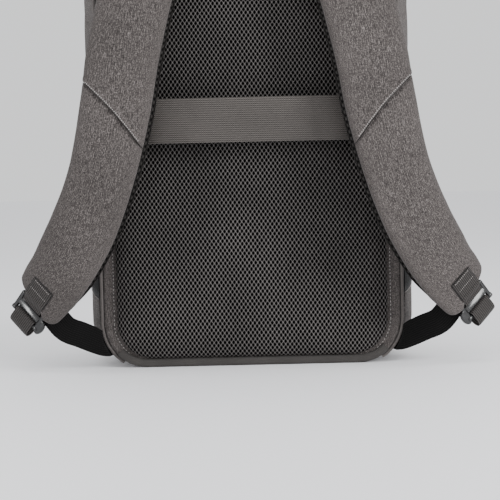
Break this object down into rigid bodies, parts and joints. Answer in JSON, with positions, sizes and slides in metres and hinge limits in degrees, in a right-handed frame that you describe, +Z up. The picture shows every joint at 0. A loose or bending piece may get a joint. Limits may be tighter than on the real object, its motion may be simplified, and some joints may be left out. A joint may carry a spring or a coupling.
{
  "type": "laptop backpack",
  "caption": "Soft box-shaped laptop backpack with a padded mesh back, padded shoulder straps with ladder locks and a luggage band.",
  "frame": {"origin": "the middle of the base, on the surface that the bag stands on", "axes": "+Z up, +X to the right as the picture shows it, and the padded back faces -Y"},
  "size_m": [0.4634, 0.2254, 0.488],
  "materials": {
    "melange_fabric": "warm grey melange weave, matt",
    "air_mesh": "knitted air mesh with diamond holes, matt",
    "dark_fabric": "dark stretch weave and zip tape, matt",
    "band_webbing": "finely ribbed webbing, low sheen",
    "grey_webbing": "ribbed webbing, low sheen",
    "black_webbing": "ribbed webbing, low sheen",
    "dark_plastic": "smooth moulded plastic, satin"
  },
  "bodies": {
    "root": {"back_panel": "melange_fabric", "back_mesh_pad": "air_mesh", "base_binding": "melange_fabric", "yoke_panel": "melange_fabric", "bottom_panel": "melange_fabric", "top_panel": "melange_fabric", "side_panel_right": "melange_fabric", "side_panel_left": "melange_fabric", "front_panel": "melange_fabric", "back_piping": "melange_fabric", "front_piping": "melange_fabric", "main_zipper": "dark_fabric", "zipper_pull": "dark_plastic", "luggage_band": "band_webbing", "haul_loop": "grey_webbing", "strap_upper_left": "melange_fabric", "strap_lower_left": "melange_fabric", "strap_mesh_left": "air_mesh", "strap_patch_left": "grey_webbing", "ladder_lock_left": "dark_plastic", "adjuster_webbing_left": "black_webbing", "adjuster_tail_left": "black_webbing", "side_pocket_left": "melange_fabric", "pocket_hem_left": "dark_fabric", "strap_upper_right": "melange_fabric", "strap_lower_right": "melange_fabric", "strap_mesh_right": "air_mesh", "strap_patch_right": "grey_webbing", "ladder_lock_right": "dark_plastic", "adjuster_webbing_right": "black_webbing", "adjuster_tail_right": "black_webbing", "side_pocket_right": "melange_fabric", "pocket_hem_right": "dark_fabric"}
  },
  "joints": []
}
